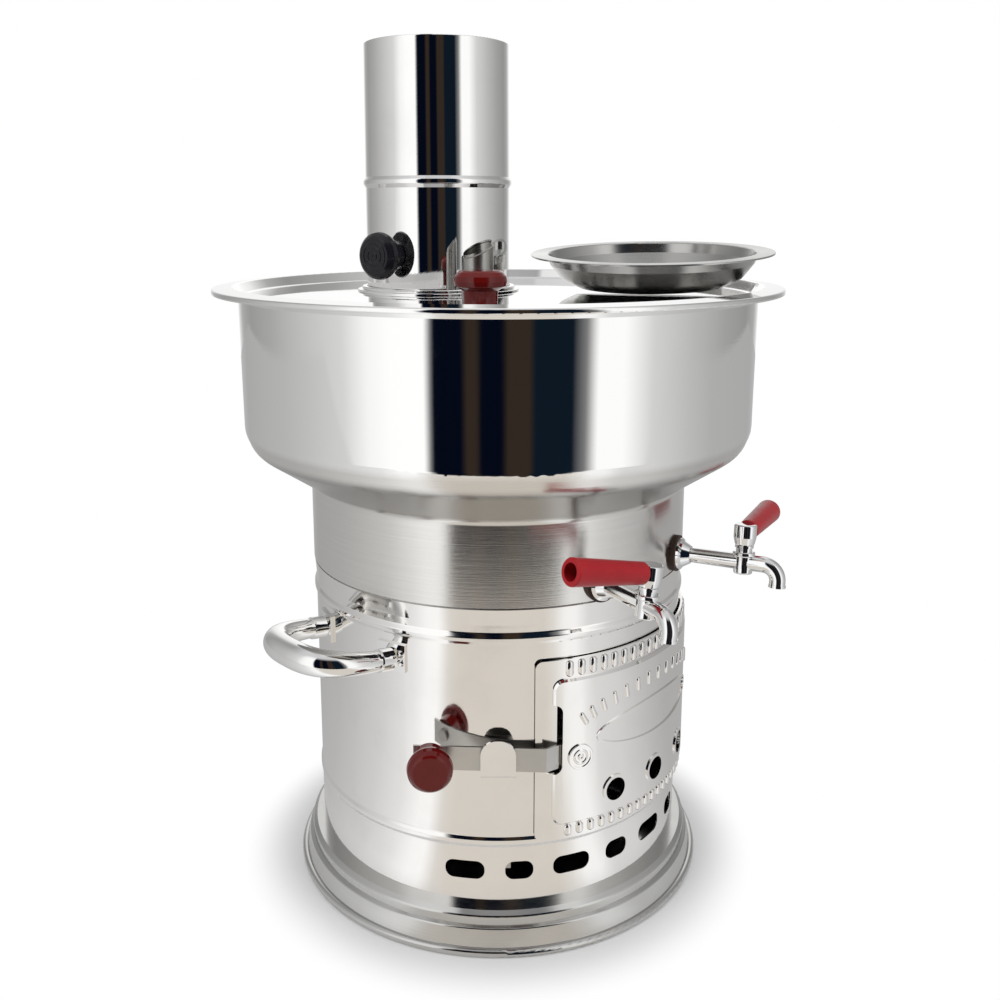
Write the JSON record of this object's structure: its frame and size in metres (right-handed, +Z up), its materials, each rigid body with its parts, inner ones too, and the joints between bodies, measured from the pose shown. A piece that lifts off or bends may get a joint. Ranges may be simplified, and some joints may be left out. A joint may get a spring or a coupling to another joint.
{
  "type": "samovar",
  "caption": "Wood-fired camping samovar: firebox with latched door on an ash tray, lift-off water tank with lever taps, off-centre chimney, side handles, filler lid and dish.",
  "frame": {"origin": "on the floor under the middle of the firebox, at the centre of the ash tray's flat underside", "axes": "+Z up, -Y towards the viewer of the picture, +X to the viewer's right; the fire door is centred about 51 degrees from -Y towards +X"},
  "size_m": [0.3439, 0.342, 0.509],
  "materials": {
    "polished": "mirror-polished stainless steel",
    "satin": "stainless steel brushed round the body",
    "plated": "plated brass",
    "inner_steel": "plain stainless sheet",
    "tap_red": "red moulded plastic",
    "knob_red": "dark red bakelite",
    "knob_black": "black bakelite",
    "gasket": "brown rubber washer"
  },
  "bodies": {
    "tray": {"base_tray": "polished"},
    "firebox": {"firebox_shell": "polished", "grate_lugs": "inner_steel", "hinge_shell_leaves": "polished", "hinge_pins": "polished", "latch_keeper": "polished", "grip_left": "polished", "grip_right": "polished", "brackets_left": "polished", "brackets_right": "polished", "handle_rivets": "polished"},
    "grate": {"grate": "inner_steel"},
    "door": {"door_panel": "polished", "hinge_door_leaves": "polished", "latch_pivot": "polished"},
    "latch": {"latch_bar": "polished", "latch_knob": "knob_red", "latch_knob_screw": "inner_steel"},
    "tank": {"tank_shell": "satin", "tank_floor": "inner_steel", "top_plate": "polished", "flue_tube": "inner_steel", "chimney_collar": "polished", "vent_tube": "satin", "tap_gaskets": "gasket", "tap_nuts": "plated", "tap_body_left": "plated", "tap_body_right": "plated"},
    "chimney": {"chimney": "polished", "chimney_knob": "knob_black", "chimney_knob_screw": "inner_steel"},
    "lid": {"filler_lid": "satin", "filler_knob": "knob_red", "filler_knob_screw": "inner_steel"},
    "dish": {"dish": "satin"},
    "tap_lever_l": {"tap_plug_left": "plated", "tap_lever_left": "tap_red"},
    "tap_lever_r": {"tap_plug_right": "plated", "tap_lever_right": "tap_red"}
  },
  "joints": [
    {"name": "firebox_lift", "type": "slide", "parent": "tray", "child": "firebox", "axis": [0, 0, 1], "range_m": [0, 0.12]},
    {"name": "grate_lift", "type": "slide", "parent": "firebox", "child": "grate", "axis": [0, 0, 1], "range_m": [0, 0.1]},
    {"name": "door_swing", "type": "hinge", "parent": "firebox", "child": "door", "pos_m": [0.11903, 0.01167, 0.1165], "axis": [0, 0, 1], "range_deg": [0, 110]},
    {"name": "latch_turn", "type": "hinge", "parent": "door", "child": "latch", "pos_m": [0.04451, -0.10745, 0.1123], "axis": [-0.3827, 0.9239, 0], "range_deg": [0, 24]},
    {"name": "tank_lift", "type": "slide", "parent": "firebox", "child": "tank", "axis": [0, 0, 1], "range_m": [0, 0.2]},
    {"name": "chimney_lift", "type": "slide", "parent": "tank", "child": "chimney", "axis": [0, 0, 1], "range_m": [0, 0.15]},
    {"name": "lid_lift", "type": "slide", "parent": "tank", "child": "lid", "axis": [0, 0, 1], "range_m": [0, 0.06]},
    {"name": "dish_lift", "type": "slide", "parent": "tank", "child": "dish", "axis": [0, 0, 1], "range_m": [0, 0.08]},
    {"name": "tap_left_turn", "type": "hinge", "parent": "tank", "child": "tap_lever_l", "pos_m": [0.07771, -0.13574, 0.2277], "axis": [0.0959, 0.0534, 0.994], "range_deg": [0, 83.7]},
    {"name": "tap_right_turn", "type": "hinge", "parent": "tank", "child": "tap_lever_r", "pos_m": [0.14243, -0.06464, 0.2277], "axis": [0.0465, 0.0994, 0.994], "range_deg": [-87, 0]}
  ]
}
